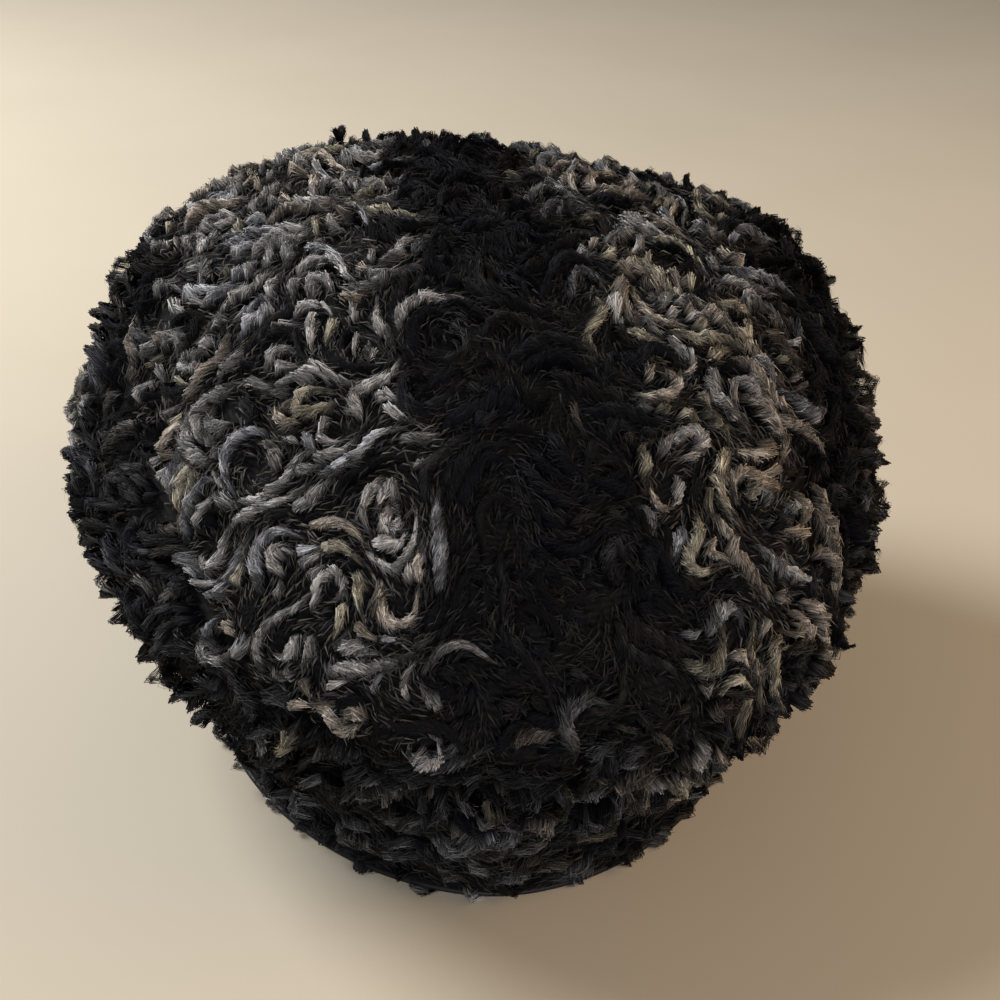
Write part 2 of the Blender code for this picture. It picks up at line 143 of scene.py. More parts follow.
def hat_form(angle, ring):
    """The centripetal Catmull-Rom curve up the rings' points at this angle."""
    angle, ring = np.broadcast_arrays(angle, np.clip(ring, RIM_RING, CROWN_RING))
    start = np.clip(ring.astype(int), RIM_RING, CROWN_RING - 1)
    p1, p2, p3 = (ring_point(angle, start + step) for step in (0, 1, 2))
    below = ring_point(angle, np.maximum(start - 1, RIM_RING))
    p0 = np.where((start == RIM_RING)[..., None], 2.0 * p1 - p2, below)
    pairs = ((p0, p1), (p1, p2), (p2, p3))
    gaps = [np.sqrt(np.linalg.norm(b - a, axis=-1))[..., None] for a, b in pairs]
    k0, k1, k2 = np.zeros_like(gaps[0]), gaps[0], gaps[0] + gaps[1]
    k3 = k2 + gaps[2]
    at = k1 + (ring - start)[..., None] * gaps[1]

    def blend(a, b, low, high):
        return a + (b - a) * (at - low) / (high - low)

    first = blend(p0, p1, k0, k1)
    second = blend(p1, p2, k1, k2)
    third = blend(p2, p3, k2, k3)
    return blend(blend(first, second, k0, k2), blend(second, third, k1, k3), k1, k2)


def form_normal(angle, ring):
    """The unit normal: the cross product of the steps up and round, level at the rim."""
    step = 1e-3
    round_it = hat_form(angle + step, ring) - hat_form(angle - step, ring)
    low = np.clip(ring - step, RIM_RING, CROWN_RING - 2 * step)
    up_it = hat_form(angle, low + 2 * step) - hat_form(angle, low)
    normal = np.cross(up_it, round_it)
    normal /= np.maximum(np.linalg.norm(normal, axis=-1, keepdims=True), LEAST_REACH**2)
    at_crown = (ring > CROWN_RING - 2 * step)[..., None]
    normal = np.where(at_crown, np.array([0.0, 0.0, 1.0]), normal)
    level = normal * np.array([1.0, 1.0, 0.0])
    level /= np.maximum(np.linalg.norm(level, axis=-1, keepdims=True), step)
    return np.where((ring < RIM_RING + step)[..., None], level, normal)


PANEL_TURNS = 360
PANEL_SHARES = 160
Panel = namedtuple("Panel", "name is_disc girth lengths points normals")


def cut_panel(name, first_ring, last_ring):
    """A panel laid flat: its length up each angle, and the form at even shares of that length."""
    turns = np.linspace(0.0, TURN, PANEL_TURNS + 1)
    rings = np.linspace(first_ring, last_ring, PANEL_SHARES + 1)
    fine = hat_form(turns[:, None], rings[None])
    steps = np.linalg.norm(np.diff(fine, axis=1), axis=-1)
    lengths = np.concatenate([np.zeros((len(turns), 1)), np.cumsum(steps, axis=1)], axis=1)
    shares = np.linspace(0.0, 1.0, PANEL_SHARES + 1)
    ring = np.array([np.interp(shares * row[-1], row, rings) for row in lengths])
    girth = np.linalg.norm(np.diff(fine, axis=0), axis=-1).sum(axis=0).mean()
    points = hat_form(turns[:, None], ring)
    normals = form_normal(turns[:, None], ring)
    return Panel(name, last_ring == CROWN_RING, girth, lengths[:, -1], points, normals)


def look_up(table, turn, share):
    """The bilinear value of a table that runs once round, and straight on past its two edges."""
    row = np.mod(turn / TURN, 1.0) * PANEL_TURNS
    column = share * PANEL_SHARES
    i = np.minimum(row.astype(int), PANEL_TURNS - 1)
    j = np.clip(np.floor(column).astype(int), 0, PANEL_SHARES - 1)
    f, g = (row - i)[..., None], (column - j)[..., None]
    near = table[i, j] * (1.0 - g) + table[i, j + 1] * g
    far = table[i + 1, j] * (1.0 - g) + table[i + 1, j + 1] * g
    return near * (1.0 - f) + far * f


def panel_place(panel, flat):
    """The angle and the share of the profile of a spot on the flat panel.

    The disc lies flat about the crown's centre, and a strip is as wide as its girth.
    """
    turns = np.linspace(0.0, TURN, PANEL_TURNS + 1)
    if panel.is_disc:
        turn = np.mod(np.arctan2(flat[..., 0], flat[..., 1]), TURN)
        return turn, 1.0 - np.hypot(flat[..., 0], flat[..., 1]) / np.interp(turn, turns, panel.lengths)
    turn = np.mod(flat[..., 0] / panel.girth, 1.0) * TURN
    return turn, flat[..., 1] / np.interp(turn, turns, panel.lengths)


def on_hat(panel, flat, lift):
    """The point and the normal of a spot on the flat panel, lifted along that normal."""
    turn, share = panel_place(panel, flat)
    normal = look_up(panel.normals, turn, np.clip(share, 0.0, 1.0))
    normal /= np.linalg.norm(normal, axis=-1, keepdims=True)
    return look_up(panel.points, turn, share) + normal * lift[..., None], normal


PANELS = {
    "crown_top": cut_panel("crown_top", DISC_SEAM_RING, CROWN_RING),
    "crown_side": cut_panel("crown_side", BAND_SEAM_RING, DISC_SEAM_RING),
    "headband": cut_panel("headband", RIM_RING, BAND_SEAM_RING),
}
CLOTH_TURNS = 120
CLOTH_SHARES = 24
SEAM_LAP = 0.0005


def new_mesh_object(name, points, quads, triangles=()):
    """A named object at the origin from whole arrays of points, four-sided and three-sided faces."""
    quads = np.asarray(quads, np.int32).reshape(-1, 4)
    triangles = np.asarray(triangles, np.int32).reshape(-1, 3)
    corners = np.concatenate([quads.ravel(), triangles.ravel()])
    totals = np.concatenate([np.full(len(quads), 4), np.full(len(triangles), 3)]).astype(np.int32)
    mesh = bpy.data.meshes.new(name)
    mesh.vertices.add(len(points))
    mesh.vertices.foreach_set("co", np.asarray(points, np.float32).ravel())
    mesh.loops.add(len(corners))
    mesh.loops.foreach_set("vertex_index", corners)
    mesh.polygons.add(len(totals))
    mesh.polygons.foreach_set("loop_start", (np.cumsum(totals) - totals).astype(np.int32))
    mesh.polygons.foreach_set("use_smooth", np.ones(len(totals), bool))
    mesh.update(calc_edges=True)
    mesh.validate()
    made = bpy.data.objects.new(name, mesh)
    bpy.context.scene.collection.objects.link(made)
    return made


def round_grid(columns, turns, first=0):
    """Quads between neighbouring columns of points that each run once round."""
    here = np.arange(turns)
    there = (here + 1) % turns
    low = first + np.arange(columns - 1)[:, None] * turns
    quads = [here + low, there + low, there + low + turns, here + low + turns]
    return np.stack(np.broadcast_arrays(*quads), axis=-1).reshape(-1, 4)[:, ::-1]


def cloth_wall(panel):
    """A closed wall: the panel's form lifted to the cloth's outer and inner faces, edges joined.

    It laps a little over the seams, so that no light comes through them.
    """
    turns = np.linspace(0.0, TURN, CLOTH_TURNS, endpoint=False)
    lap = SEAM_LAP / panel.lengths.mean()
    first = 0.0 if panel.name == "headband" else -lap
    last = 1.0 if panel.is_disc else 1.0 + lap
    shares = np.linspace(first, last, CLOTH_SHARES)
    if panel.is_disc:
        shares = shares[:-1]
    grid_turns, grid_shares = np.meshgrid(turns, shares)
    base = look_up(panel.points, grid_turns, grid_shares)
    normal = look_up(panel.normals, grid_turns, grid_shares)
    normal /= np.linalg.norm(normal, axis=-1, keepdims=True)
    outer = (base + normal * CLOTH_OUTER_LIFT).reshape(-1, 3)
    inner = (base - normal * WALL).reshape(-1, 3)
    count = len(outer)
    faces = round_grid(len(shares), CLOTH_TURNS)
    quads = [faces, faces[:, ::-1] + count]
    here = np.arange(CLOTH_TURNS)
    there = (here + 1) % CLOTH_TURNS
    quads.append(np.stack([here, here + count, there + count, there], axis=-1)[:, ::-1])
    points, triangles = [outer, inner], []
    top = count - CLOTH_TURNS
    if panel.is_disc:
        crown = panel.points[0, -1]
        points.append(np.array([crown + (0, 0, CLOTH_OUTER_LIFT), crown - (0, 0, WALL)]))
        outer_pole = np.full(CLOTH_TURNS, 2 * count)
        triangles.append(np.stack([there + top, here + top, outer_pole], axis=-1))
        triangles.append(np.stack([here + top + count, there + top + count, outer_pole + 1], axis=-1))
        triangles = np.concatenate(triangles)
    else:
        edge = np.stack([here, there, there + count, here + count], axis=-1)[:, ::-1]
        quads.append(edge + top)
    return np.concatenate(points), np.concatenate(quads), triangles


def node_maker(material):
    """Adds a shader node of a type with its settings and its input values by name."""
    tree = material.node_tree

    def add(kind, settings=None, **values):
        node = tree.nodes.new(kind)
        for key, value in (settings or {}).items():
            setattr(node, key, value)
        for key, value in values.items():
            node.inputs[key.replace("_", " ")].default_value = value
        return node

    return add, tree.links.new


def knit_back_material():
    """The knitted back of the pile cloth: fine ribs and loops in a warm near-black."""
    material = bpy.data.materials.new("knitted_back")
    material.use_nodes = True
    shader = material.node_tree.nodes["Principled BSDF"]
    shader.inputs["Roughness"].default_value = 0.9
    shader.inputs["Specular IOR Level"].default_value = 0.10
    add, link = node_maker(material)
    place = add("ShaderNodeTexCoord")
    rings = {"wave_type": "RINGS", "rings_direction": "Z"}
    ribs = add("ShaderNodeTexWave", rings, Scale=260.0, Distortion=2.0)
    loops = add("ShaderNodeTexNoise", Scale=900.0, Detail=3.0)
    patches = add("ShaderNodeTexNoise", Scale=45.0, Detail=2.0)
    link(place.outputs["Object"], ribs.inputs["Vector"])
    link(place.outputs["Object"], loops.inputs["Vector"])
    link(place.outputs["Object"], patches.inputs["Vector"])
    mixed = add("ShaderNodeMath", {"operation": "MULTIPLY"})
    link(ribs.outputs["Fac"], mixed.inputs[0])
    link(loops.outputs["Fac"], mixed.inputs[1])
    colours = add("ShaderNodeValToRGB")
    colours.color_ramp.elements[0].color = (0.0025, 0.0024, 0.0027, 1.0)
    colours.color_ramp.elements[1].color = (0.012, 0.011, 0.011, 1.0)
    together = add("ShaderNodeMath", {"operation": "MULTIPLY_ADD"})
    together.inputs[1].default_value = 0.5
    link(patches.outputs["Fac"], together.inputs[0])
    link(mixed.outputs["Value"], together.inputs[2])
    link(together.outputs["Value"], colours.inputs["Fac"])
    link(colours.outputs["Color"], shader.inputs["Base Color"])
    bump = add("ShaderNodeBump", Strength=0.5, Distance=0.0004)
    link(mixed.outputs["Value"], bump.inputs["Height"])
    link(bump.outputs["Normal"], shader.inputs["Normal"])
    return material


knitted_back = knit_back_material()
for node, panel in PANELS.items():
    backing = new_mesh_object(node + "_backing", *cloth_wall(panel))
    backing.data.materials.append(knitted_back)
    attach(backing, "root")
    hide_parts(node)


# The curly pile of the disc
# Soft synthetic fibres about 8 mm long, set in the cloth and pressed into rolled locks that
# turn in rosettes. Their roots are near-black, and in two stripes their tips are grey.
Pile = namedtuple(
    "Pile", "fibres longest_lock highest_top seam_fullness dark_least dark_spread stray_grey"
)
PILES = {
    "crown_top": Pile(186000, 0.026, 0.0014, 0.0, 0.0, 0.07, 0.04),
    "crown_side": Pile(150000, 0.021, 0.0029, 0.0030, 0.08, 0.16, 0.27),
    "headband": Pile(66000, 0.013, 0.0016, 0.0040, 0.03, 0.13, 0.40),
}
SPOT_SCATTER = 0.5
TRIANGLE_RISE = np.sqrt(0.75)
RIM_OVERHANG = 0.0012


def flat_box(panel):
    """The low and high corners of the flat panel."""
    if panel.is_disc:
        high = np.array([panel.lengths.max()] * 2)
        return -high, high
    return np.array([0.0, 0.0]), np.array([panel.girth, panel.lengths.max()])


def hex_spots(panel, spacing, random):
    """Spots on a net of even triangles over the flat panel, each moved by a random share.

    On the band they start a little below its edge, and so its pile hangs over the turned cloth.
    """
    low, high = flat_box(panel)
    columns = int(np.ceil((high[0] - low[0]) / spacing))
    step = (high[0] - low[0]) / columns
    rows = int(np.ceil((high[1] - low[1]) / (step * TRIANGLE_RISE))) + 1
    row, column = np.meshgrid(np.arange(rows), np.arange(columns), indexing="ij")
    spots = np.stack([column + 0.5 * (row % 2), row * TRIANGLE_RISE], axis=-1).reshape(-1, 2)
    spots = low + spots * step
    spots += spacing * SPOT_SCATTER * random.uniform(-1.0, 1.0, spots.shape)
    share = panel_place(panel, spots)[1]
    least = -RIM_OVERHANG / panel.lengths.mean() if panel.name == "headband" else 0.0
    return spots[(share > least) & (share < 1.0)]


# Each as degrees from the nape, and metres from the crown's centre on the flat disc.
DISC_CURLS = (
    (40, 0.056), (62, 0.097), (48, 0.101), (34, 0.084), (19, 0.103), (45, 0.130),
    (36, 0.117), (30, 0.141), (-30, 0.134), (-19, 0.147), (-41, 0.087), (-51, 0.100),
)
CURL_SPACING = 0.018
CURL_NETS = 3
CURL_STRENGTH = (0.20, 1.15)
CURL_REACH = 0.0062
CURL_SIZE = (0.70, 0.40)
CURL_INWARD = 0.15
CURL_HOLE = 0.0020
CURL_TURNED = 0.50
CURL_KEPT = 0.52
NO_WRAP = 1e9
LEAST_LENGTH = 1e-9


def apart(points, least, girth, sure):
    """Which points to keep so that none lies closer than the least distance to one before it."""
    kept = np.zeros(len(points), bool)
    for i, point in enumerate(points):
        step = points[kept] - point
        step[:, 0] -= girth * np.round(step[:, 0] / girth)
        kept[i] = i < sure or not (np.hypot(step[:, 0], step[:, 1]) < least).any()
    return kept


def curl_centres(panel, charted, random):
    """The rosettes' centres and the hand that each turns: the charted ones, then spread ones."""
    wrap = NO_WRAP if panel.is_disc else panel.girth
    nets = [hex_spots(panel, CURL_SPACING / 2, random) for _ in range(CURL_NETS)]
    spots = np.vstack([charted] + nets)
    centres = spots[apart(spots, CURL_SPACING, wrap, len(charted))]
    hands = np.where(random.random(len(centres)) < 0.5, -1.0, 1.0)
    strength = random.uniform(*CURL_STRENGTH, len(centres))
    strength[: len(charted)] = CURL_STRENGTH[1]
    return centres, hands * strength, wrap


def flow(spots, curls, drift):
    """The unit direction of the pile: the sum of whirls about each curl's centre, and a drift.

    A whirl is a quarter turn of the way from its centre, less a small part of that way, times a
    bell of the distance. A strong one reaches farther than a weak one.
    """
    centres, hands, wrap = curls
    away = spots[:, None] - centres[None]
    away[..., 0] -= wrap * np.round(away[..., 0] / wrap)
    reach = CURL_REACH * (CURL_SIZE[0] + CURL_SIZE[1] * np.abs(hands))
    bell = np.exp(-(away**2).sum(axis=-1) / (2.0 * reach**2)) / reach
    across = np.stack([-away[..., 1], away[..., 0]], axis=-1) * hands[None, :, None]
    inward = CURL_INWARD * away * np.abs(hands)[None, :, None]
    total = ((across - inward) * bell[..., None]).sum(axis=1) + drift(spots)
    return total / np.maximum(np.linalg.norm(total, axis=-1, keepdims=True), LEAST_LENGTH)


LOCK_STARTS = 0.0028
LOCK_STEP = 0.0014
LOCK_STEPS = 18
LOCK_MIDDLE = 4
LOCK_SHORTEST = 0.008
LOCK_LEAST = 0.0034
LOCK_APART = (0.0025, 0.0044)
LOCK_CELL = 0.0004
LOCK_HALF_WIDTH = (0.0014, 0.0029)
LOCK_TOP_LOWEST = -0.0018
FULLER_FROM = 0.55


def lock_lines(spots, curls, drift):
    """The middle line of each lock: even steps along the flow, each taken from its half-way point."""
    line = [spots]
    for _ in range(LOCK_STEPS):
        half = line[-1] + flow(line[-1], curls, drift) * LOCK_STEP / 2
        line.append(line[-1] + flow(half, curls, drift) * LOCK_STEP)
    return np.stack(line, axis=1)


def free_lengths(panel, lines, lengths, clear):
    """How far each lock runs, longest first, before it comes too near one laid before it.

    The flat panel is a net of small cells, and a laid lock takes the cells round its line.
    """
    low, high = flat_box(panel)
    size = np.ceil((high - low) / LOCK_CELL).astype(int) + 1
    taken = np.zeros(size, bool)
    cells = np.floor((lines - low) / LOCK_CELL).astype(int)
    reach = int(np.ceil(clear.max() / LOCK_CELL))
    ring = np.stack(np.meshgrid(*[np.arange(-reach, reach + 1)] * 2), axis=-1).reshape(-1, 2)
    radius = np.hypot(*ring.T) * LOCK_CELL
    free = np.zeros(len(lines))

    def inside(places):
        if not panel.is_disc:
            places[..., 0] %= size[0] - 1
        return np.clip(places, 0, size - 1)

    for i in np.argsort(-lengths):
        steps = int(lengths[i] / LOCK_STEP) + 1
        places = inside(cells[i, :steps].copy())
        met = taken[places[:, 0], places[:, 1]]
        steps = int(np.argmax(met)) if met.any() else steps
        if steps * LOCK_STEP < LOCK_LEAST:
            continue
        free[i] = min(lengths[i], steps * LOCK_STEP)
        near = inside((cells[i, :steps, None] + ring[radius < clear[i]][None]).reshape(-1, 2))
        taken[near[:, 0], near[:, 1]] = True
    return free


def along_line(lines, lock, distance):
    """The spot and the direction at a distance along a lock's line, straight on past its ends."""
    at = distance / LOCK_STEP
    index = np.clip(np.floor(at).astype(int), 0, LOCK_STEPS - 1)
    start, end = lines[lock, index], lines[lock, index + 1]
    return start + (end - start) * (at - index)[..., None], (end - start) / LOCK_STEP


Wave = namedtuple("Wave", "height x y start")


def waves_at(waves, x, y):
    """The sum of slow sine waves, each with its own height and slope over the plane."""
    return sum(wave.height * np.sin(x * wave.x + y * wave.y + wave.start) for wave in waves)


Stripe = namedtuple("Stripe", "side inner lean outer front_light front_at front_soft")
# Toward the front a stripe's grey is changed by paint: painted light on the left one, painted shade on
# the right one.
STRIPES = (
    Stripe(1.0, 0.019, 0.08, 0.108, 0.35, 0.02, 0.08),
    Stripe(-1.0, 0.023, -0.17, 0.096, -0.20, 0.00, 0.06),
)
STRIPE_INNER_SOFT = 0.014
STRIPE_OUTER_SOFT = 0.012
STRIPE_WAVES = (Wave(0.004, 0.0, 95.0, 0.6), Wave(0.003, 60.0, 210.0, 0.0))


def stripe_share(points):
    """How grey the pile is at a point: two soft, wavy stripes that run from back to front.

    Toward the front painted light lightens the left one, and painted shade darkens the right one.
    """
    x, y = points[..., 0], points[..., 1]
    wave = waves_at(STRIPE_WAVES, x, y)
    grey = np.zeros_like(x)
    for stripe in STRIPES:
        across = stripe.side * x
        inner = smooth_step((across + wave - stripe.inner + stripe.lean * y) / STRIPE_INNER_SOFT)
        outer = smooth_step((stripe.outer - across + wave) / STRIPE_OUTER_SOFT)
        # Painted light on the left stripe and painted shade on the right one, toward the front.
        front = 1.0 + stripe.front_light * smooth_step((stripe.front_at - y) / stripe.front_soft)
        grey = np.maximum(grey, inner * outer * front)
    return grey


Locks = namedtuple("Locks", "lines length half_width top hand light tint")
FIBRE_REACH = (0.0040, 0.0085)
FIBRE_HALF_WIDTH = (0.00011, 0.00023)
FIBRE_PATH = np.array([0.0, 0.42, 0.95])
FIBRE_RISE = np.array([0.0, 1.0, 0.86])
FIBRE_BEHIND = 0.30
FIBRE_LOOSE = 0.0005
FIBRE_LIGHT = (0.30, 1.25)
ROOT_DEPTH = 0.0003
ROOT_OUT = (0.60, 1.30)
CREST_BACK = 0.15
CREST_SPREAD = 0.50
CREST_LOOSE = 0.16
TIP_LEAN = 0.60
TIP_SPREAD = 0.35
TIP_WITH_TUFT = 0.30
TIP_LOOSE = 0.30
LOCK_END_WIDTH = 0.35
TAPER_START = 0.12
TAPER_SPAN = 0.86
LOCK_END_HEIGHT = 0.35
HUMP_START = 0.04
HUMP_SPAN = 0.92
HUMP_SKEW = 0.8
ARCH_DROP = 0.55
ARCH_LEAST = 0.15
TUFT_PITCH = 0.0023
TUFT_GATHER = np.array([0.95, 0.80, 0.50])
TUFT_LIGHT = (0.35, 1.2)
TUFT_LIFT = 0.0006
TUFT_TURN = 0.35
MOST_TUFTS = 16
# Painted shade across a lock: how much its side fibres are darkened, how far out and how steeply.
PAINTED_SIDE_SHADE = 0.45
PAINTED_SIDE_SHADE_FAR = 1.3
PAINTED_SIDE_SHADE_POWER = 1.5
END_LIGHT = 0.22
END_FADE = 0.30
END_START = 0.15
STRAY_SHARE = 0.13
STRAY_RISE = 0.0024
STRAY_THIN = 0.6


def fibres_of(panel, locks, random):
    """Tapering fibres of every lock: paths, normals, half widths, tones and tints.

    A fibre is rooted in the cloth on one side of its lock, climbs aslant over the crest and
    lies down past it, drawn together with its tuft. The crest is an arch across the lock and
    a long low hump along it. The places of root, crest and tip across the lock are counted in
    its half widths. The tone fades toward the lock's ends, and a painted shade darkens the
    fibres whose tips lie out toward its sides, so that the lock looks round.
    """
    counts = np.round(locks.length / locks.length.sum() * PILES[panel.name].fibres).astype(int)
    lock = np.repeat(np.arange(len(counts)), counts)
    count = len(lock)
    length = locks.length[lock]
    start = random.random(count) * length / TUFT_PITCH
    tuft = np.floor(start).astype(int)
    within = (start - tuft - 0.5)[:, None]
    table = (len(counts), MOST_TUFTS)
    tuft_side = random.uniform(-1.0, 1.0, table)[lock, tuft]
    tuft_light = random.uniform(*TUFT_LIGHT, table)[lock, tuft]
    tuft_lift = random.normal(0.0, TUFT_LIFT, table)[lock, tuft]
    tuft_turn = random.normal(0.0, TUFT_TURN, table)[lock, tuft]
    reach = random.uniform(*FIBRE_REACH, count)
    centre = (tuft[:, None] + 0.5 + within * TUFT_GATHER) * TUFT_PITCH
    distance = centre + reach[:, None] * (FIBRE_PATH[None] - FIBRE_BEHIND)
    share = distance / length[:, None]
    tapered = np.clip(share * TAPER_SPAN + TAPER_START, 0.0, 1.0)
    taper = LOCK_END_WIDTH + (1.0 - LOCK_END_WIDTH) * np.sin(np.pi * tapered)
    width = locks.half_width[lock, None] * taper
    spread = random.uniform(-1.0, 1.0, count)
    hand = locks.hand[lock]
    lean = hand * (TIP_LEAN + tuft_turn)
    cross = np.stack([
        -hand * random.uniform(*ROOT_OUT, count),
        -CREST_BACK * hand + CREST_SPREAD * spread + random.normal(0.0, CREST_LOOSE, count),
        lean + TIP_SPREAD * spread + TIP_WITH_TUFT * tuft_side + random.normal(0.0, TIP_LOOSE, count),
    ], axis=-1)
    middle, direction = along_line(locks.lines, np.broadcast_to(lock[:, None], distance.shape), distance)
    across = np.stack([-direction[..., 1], direction[..., 0]], axis=-1)
    flat = middle + across * (cross * width)[..., None]
    humped = np.clip(share * HUMP_SPAN + HUMP_START, 0.0, 1.0) ** HUMP_SKEW
    hump = LOCK_END_HEIGHT + (1.0 - LOCK_END_HEIGHT) * np.sin(np.pi * humped)
    arch = np.sqrt(np.clip(1.0 - cross**2 * ARCH_DROP, ARCH_LEAST, 1.0))
    base = CLOTH_OUTER_LIFT - ROOT_DEPTH
    surface = base + (locks.top[lock, None] - base) * hump * arch
    stray = np.where(random.random(count) < STRAY_SHARE, random.uniform(0.0, STRAY_RISE, count), 0.0)
    loose = random.normal(0.0, FIBRE_LOOSE, count) + tuft_lift
    lift = base + (surface - base + loose[:, None]) * FIBRE_RISE[None]
    lift[:, 2] += stray
    points, normals = on_hat(panel, flat, lift)
    # Painted shade: fibres whose tips lie out toward the lock's sides are darker, so the lock looks
    # round.
    aside = np.clip(np.abs(cross[:, 2]), 0.0, PAINTED_SIDE_SHADE_FAR)
    painted_side_shade = 1.0 - PAINTED_SIDE_SHADE * aside**PAINTED_SIDE_SHADE_POWER
    from_start, from_end = share[:, 1] / END_FADE, (1.0 - share[:, 1]) / END_FADE
    end_shade = smooth_step(from_start + END_START) * smooth_step(from_end + END_START)
    shade = painted_side_shade * (END_LIGHT + (1.0 - END_LIGHT) * end_shade)
    tone = locks.light[lock] * tuft_light * shade * random.uniform(*FIBRE_LIGHT, count)
    half_width = random.uniform(*FIBRE_HALF_WIDTH, count) * np.where(stray > 0.0, STRAY_THIN, 1.0)
    return points, normals, half_width, tone, locks.tint[lock]


FIBRE_TONE_AT = np.array([0.0, 0.56, 0.56, 1.0])
FIBRE_ROLL = 0.40
LEAST_HEIGHT = 0.0004
TINTS = 4
TONE_MARGIN = 0.05
MAP_SPREAD = 0.003


def ribbons(points, normals, half_width, tone, tint, random):
    """Two triangles to a fibre: a long kite that is bent over its wide middle and faces outward.

    Its map's U is the tint's band and the tone in it, spread a little over the width, and V
    runs from root to tip.
    """
    count = len(points)
    side = np.cross(points[:, 2] - points[:, 0], normals[:, 1])
    side /= np.maximum(np.linalg.norm(side, axis=-1, keepdims=True), LEAST_LENGTH)
    roll = random.normal(0.0, FIBRE_ROLL, (count, 1))
    wide = (side * np.cos(roll) + normals[:, 1] * np.sin(roll)) * half_width[:, None]
    vertices = np.stack([points[:, 0], points[:, 1] - wide, points[:, 1] + wide, points[:, 2]], axis=1)
    vertices[..., 2] = np.maximum(vertices[..., 2], LEAST_HEIGHT)
    first = (np.arange(count) * 4)[:, None]
    triangles = np.concatenate([first + np.array([0, 2, 1]), first + np.array([1, 2, 3])])
    band = (tint + TONE_MARGIN + (1.0 - 2.0 * TONE_MARGIN) * np.clip(tone, 0.0, 1.0)) / TINTS
    u = band[:, None] + np.array([0.0, -1.0, 1.0, 0.0]) * MAP_SPREAD
    v = np.broadcast_to(FIBRE_TONE_AT, u.shape)
    return vertices.reshape(-1, 3), triangles, np.stack([u, v], axis=-1).reshape(-1, 2)


def pile_material():
    """Pile fibre: near-black at the root, its own tone and tint toward the tip, finely streaked."""
    material = bpy.data.materials.new("pile_fibre")
    material.use_nodes = True
    shader = material.node_tree.nodes["Principled BSDF"]
    shader.inputs["Roughness"].default_value = 0.75
    shader.inputs["Specular IOR Level"].default_value = 0.02
    add, link = node_maker(material)
    fibre_map = add("ShaderNodeUVMap", {"uv_map": "OFBake"})
    parts = add("ShaderNodeSeparateXYZ")
    link(fibre_map.outputs["UV"], parts.inputs["Vector"])
    tints = add("ShaderNodeValToRGB")
    tints.color_ramp.interpolation = "CONSTANT"
    shades = ((0.62, 0.595, 0.57), (0.65, 0.565, 0.475), (0.60, 0.545, 0.42), (0.575, 0.58, 0.605))
    while len(tints.color_ramp.elements) < TINTS:
        tints.color_ramp.elements.new(0.5)
    for index, (element, shade) in enumerate(zip(tints.color_ramp.elements, shades)):
        element.position = index / TINTS
        element.color = (*shade, 1.0)
    link(parts.outputs["X"], tints.inputs["Fac"])
    bands = add("ShaderNodeMath", {"operation": "MULTIPLY"})
    bands.inputs[1].default_value = TINTS
    link(parts.outputs["X"], bands.inputs[0])
    tone = add("ShaderNodeMath", {"operation": "FRACT"})
    link(bands.outputs["Value"], tone.inputs[0])
    tone_curve = add("ShaderNodeValToRGB")
    tone_curve.color_ramp.elements[0].position = TONE_MARGIN
    tone_curve.color_ramp.elements[0].color = (0.005, 0.005, 0.005, 1.0)
    tone_curve.color_ramp.elements[1].position = 1.0 - TONE_MARGIN
    link(tone.outputs["Value"], tone_curve.inputs["Fac"])
    streaks = add("ShaderNodeTexNoise", {"noise_dimensions": "2D"}, Scale=1.0, Detail=2.0)
    stretch = add("ShaderNodeVectorMath", {"operation": "MULTIPLY"})
    stretch.inputs[1].default_value = (700.0, 2.5, 1.0)
    link(fibre_map.outputs["UV"], stretch.inputs[0])
    link(stretch.outputs["Vector"], streaks.inputs["Vector"])
    streak_range = add("ShaderNodeMapRange", To_Min=0.55, To_Max=1.35)
    streak_range.inputs["From Min"].default_value = 0.3
    streak_range.inputs["From Max"].default_value = 0.7
    link(streaks.outputs["Fac"], streak_range.inputs["Value"])
    toward_tip = add("ShaderNodeMapRange", {"interpolation_type": "SMOOTHSTEP"})
    toward_tip.inputs["From Min"].default_value = 0.22
    toward_tip.inputs["From Max"].default_value = 0.72
    link(parts.outputs["Y"], toward_tip.inputs["Value"])
    amount = add("ShaderNodeMath", {"operation": "MULTIPLY"})
    link(tone_curve.outputs["Color"], amount.inputs[0])
    link(toward_tip.outputs["Result"], amount.inputs[1])
    streaked = add("ShaderNodeMath", {"operation": "MULTIPLY", "use_clamp": True})
    link(amount.outputs["Value"], streaked.inputs[0])
    link(streak_range.outputs["Result"], streaked.inputs[1])
    colour = add("ShaderNodeMix", {"data_type": "RGBA"})
    colour.inputs["A"].default_value = (0.0027, 0.0029, 0.0041, 1.0)
    link(streaked.outputs["Value"], colour.inputs["Factor"])
    link(tints.outputs["Color"], colour.inputs["B"])
    link(colour.outputs["Result"], shader.inputs["Base Color"])
    return material


MOST_FIBRES = 98000


def add_pile(name, node, fibres, material, random):
    """Joined meshes of fibres that stand for a panel's pile, in even shares of limited size."""
    shares = int(np.ceil(len(fibres[0]) / MOST_FIBRES))
    for index, part in enumerate(zip(*(np.array_split(values, shares) for values in fibres))):
        vertices, triangles, places = ribbons(*part, random)
        pile = new_mesh_object(name if shares == 1 else f"{name}_{index + 1}", vertices, [], triangles)
        layer = pile.data.uv_layers.new(name="OFBake")
        corners = np.empty(len(pile.data.loops), np.int32)
        pile.data.loops.foreach_get("vertex_index", corners)
        layer.data.foreach_set("uv", places[corners].astype(np.float32).ravel())
        pile.data.materials.append(material)
        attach(pile, "root")
        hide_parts(node)


BRIGHT_LOCK = (0.56, 1.38)
DIM_LOCK = (0.06, 0.34)
GREY_LOCKS = 0.88
TINT_SHARES = (0.66, 0.13, 0.06, 0.15)
# Tint shares on the wearer's right: brown partly as the pile's own colour, partly as painted warm light.
BROWN_AND_WARM_LIGHT_SHARES = (0.26, 0.42, 0.30, 0.02)
# Share of dark locks given the cool tint: partly their own colour, partly a painted bluish sheen.
COOL_AND_SHEEN_IN_DARK = 0.55


